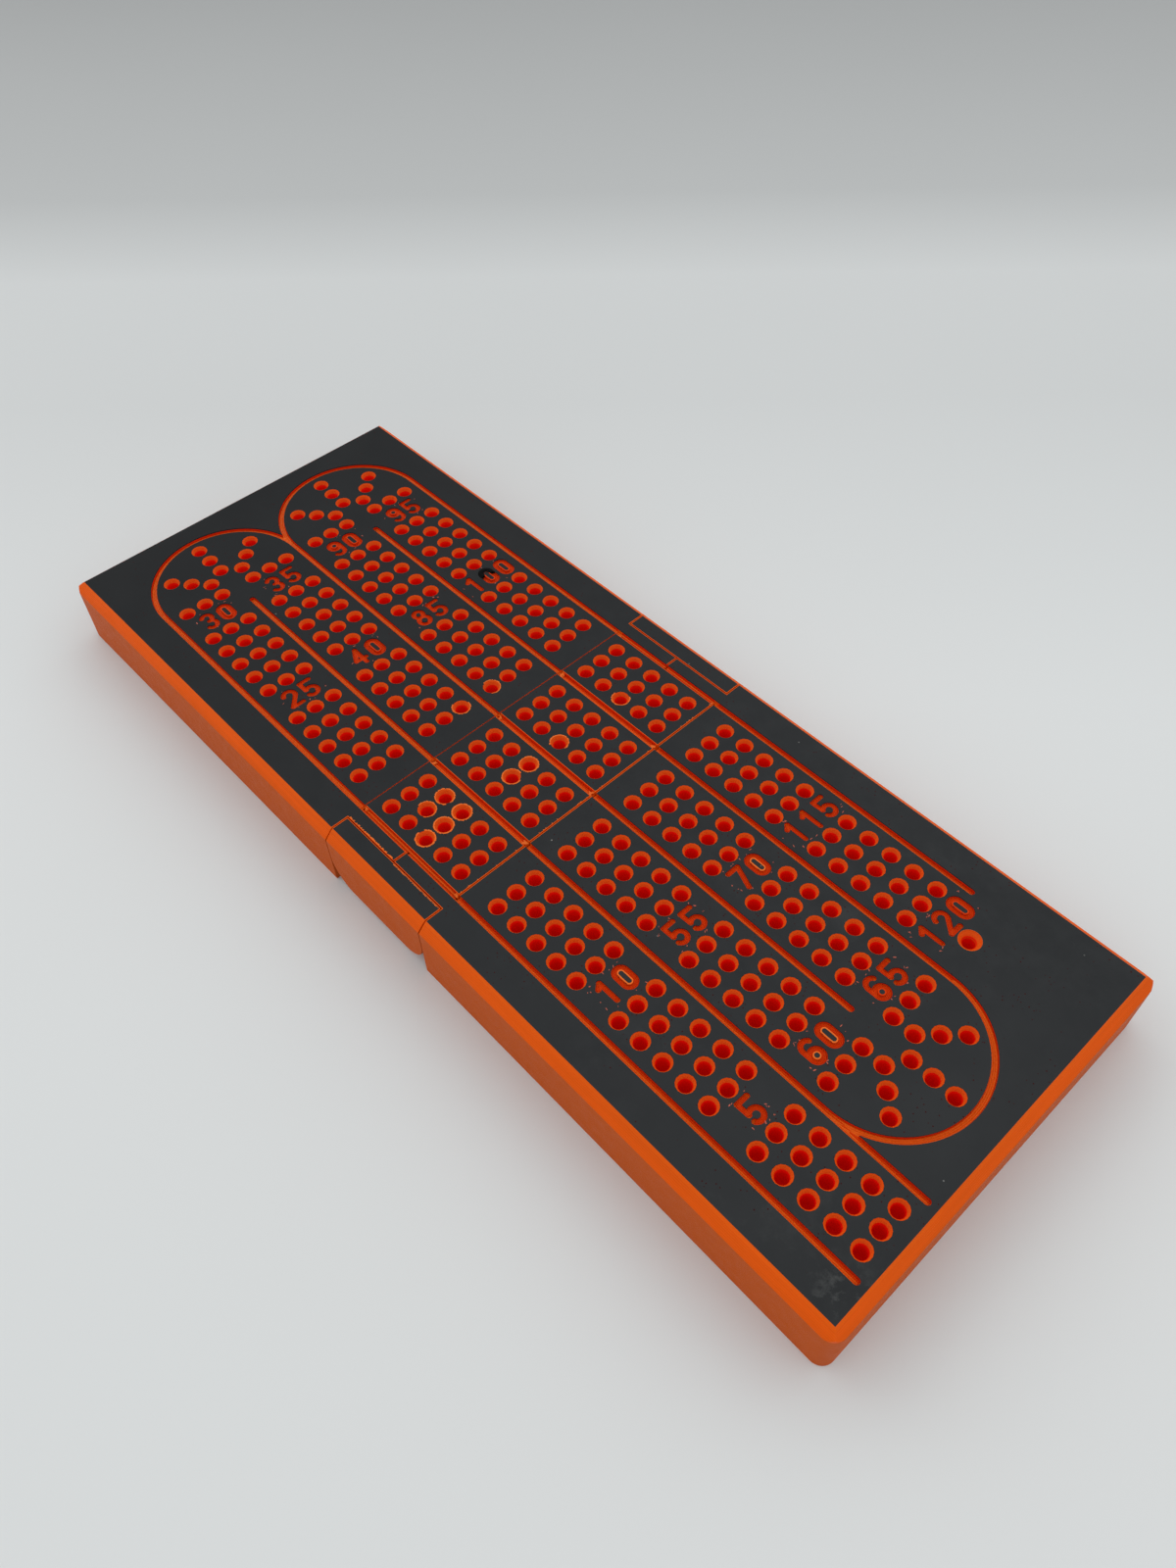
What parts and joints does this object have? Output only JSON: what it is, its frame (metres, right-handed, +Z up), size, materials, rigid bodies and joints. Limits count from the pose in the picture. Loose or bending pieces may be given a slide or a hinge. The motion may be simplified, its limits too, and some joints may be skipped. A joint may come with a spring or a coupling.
{
  "type": "folding cribbage board",
  "caption": "Flat peg board whose two hollow halves fold down about a middle spine block on pins, underside to underside, into a case with the peg holes outside.",
  "frame": {"origin": "on the table under the middle of the open board", "axes": "+X along the board to the end with the start rows, +Y across the board, +Z up through the playing face"},
  "size_m": [0.2542, 0.0994, 0.0176],
  "materials": {
    "orange_plastic": "satin printed plastic with fine layer lines",
    "charcoal_plastic": "satin printed plastic, fine speckle",
    "pin_steel": "plain drawn steel",
    "magnet_nickel": "nickel plate"
  },
  "bodies": {
    "spine": {"spine_block": "orange_plastic", "spine_face": "charcoal_plastic", "left_link": "orange_plastic", "left_link_face": "charcoal_plastic", "right_link": "orange_plastic", "right_link_face": "charcoal_plastic", "far_left_pin": "pin_steel", "far_right_pin": "pin_steel", "near_left_pin": "pin_steel", "near_right_pin": "pin_steel"},
    "far_half": {"far_tray": "orange_plastic", "far_face": "charcoal_plastic", "far_left_magnet": "magnet_nickel", "far_right_magnet": "magnet_nickel"},
    "near_half": {"near_tray": "orange_plastic", "near_face": "charcoal_plastic", "near_left_magnet": "magnet_nickel", "near_right_magnet": "magnet_nickel"}
  },
  "joints": [
    {"name": "far_fold", "type": "hinge", "parent": "spine", "child": "far_half", "pos_m": [-0.00895, 0, 0.0088], "axis": [0, -1, 0], "range_deg": [0, 90]},
    {"name": "near_fold", "type": "hinge", "parent": "spine", "child": "near_half", "pos_m": [0.00895, 0, 0.0088], "axis": [0, 1, 0], "range_deg": [0, 90]}
  ]
}
